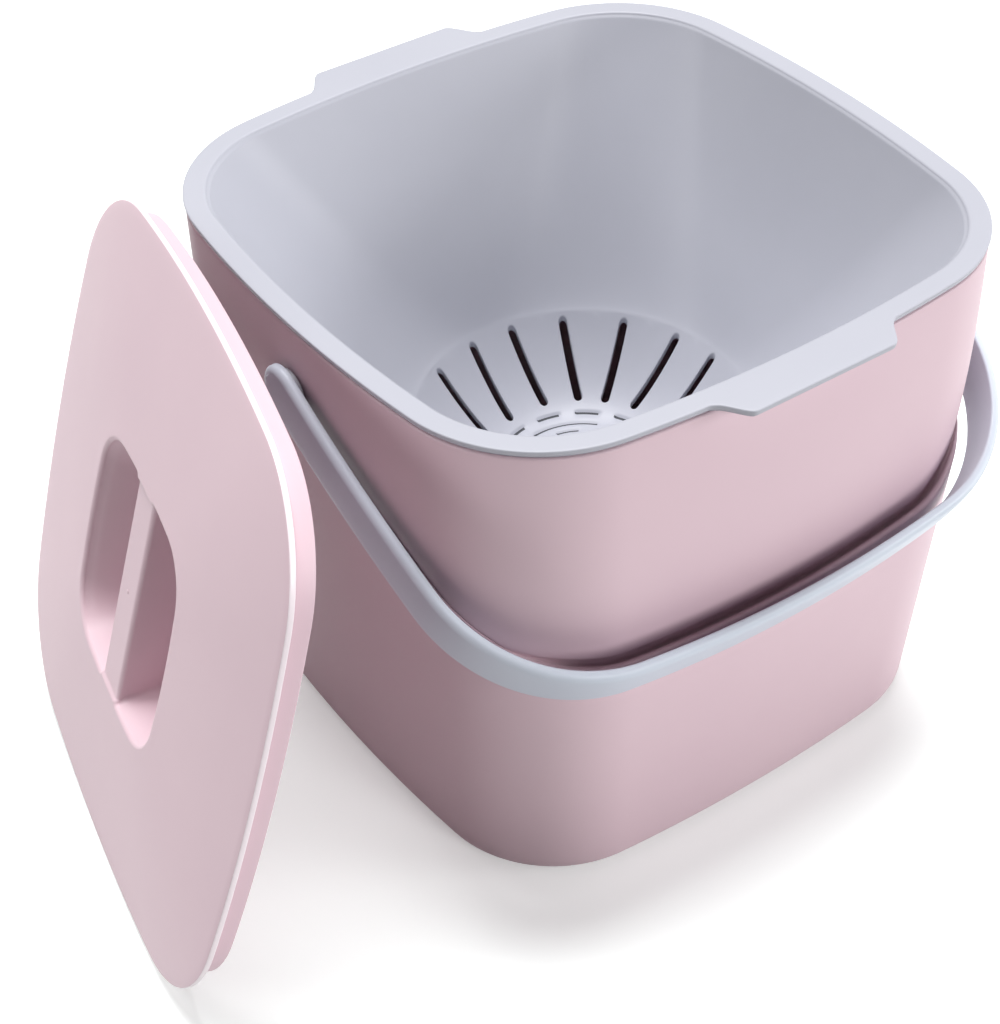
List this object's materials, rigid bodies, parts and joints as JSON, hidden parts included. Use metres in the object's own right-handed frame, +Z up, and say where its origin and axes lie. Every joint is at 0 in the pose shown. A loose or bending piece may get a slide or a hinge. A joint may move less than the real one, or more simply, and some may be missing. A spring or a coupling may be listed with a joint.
{
  "type": "compost caddy",
  "caption": "Small kitchen compost caddy: rounded square bucket with a swinging bail, a hanging strainer basket and a loose domed lid with a sunk grip bar.",
  "frame": {"origin": "middle of the underside of the bucket's base, on the floor", "axes": "+Z up; -Y towards the front, where the bail rests; -X towards the side where the lid leans; the bail turns about X"},
  "size_m": [0.3208, 0.2361, 0.2024],
  "materials": {
    "bucket_plastic": "fine matte, injection moulded",
    "lid_plastic": "fine matte, injection moulded",
    "basket_plastic": "satin, injection moulded",
    "bail_plastic": "satin, injection moulded",
    "stud_plastic": "smooth"
  },
  "bodies": {
    "bucket": {"bucket": "bucket_plastic"},
    "basket": {"basket": "basket_plastic"},
    "bail": {"bail": "bail_plastic", "pivot_stud_left": "stud_plastic", "pivot_stud_right": "stud_plastic"},
    "lid": {"lid_cover": "lid_plastic", "lid_plug": "lid_plastic"}
  },
  "joints": [
    {"name": "bail_swing", "type": "hinge", "parent": "bucket", "child": "bail", "pos_m": [0, 0, 0.1644], "axis": [-1, 0, 0], "range_deg": [0, 239.5]},
    {"name": "basket_lift", "type": "slide", "parent": "bucket", "child": "basket", "axis": [0, 0, 1], "range_m": [0, 0.125]},
    {"name": "lid_lift", "type": "slide", "parent": "bucket", "child": "lid", "axis": [0, 0, 1], "range_m": [0, 0.15]}
  ]
}
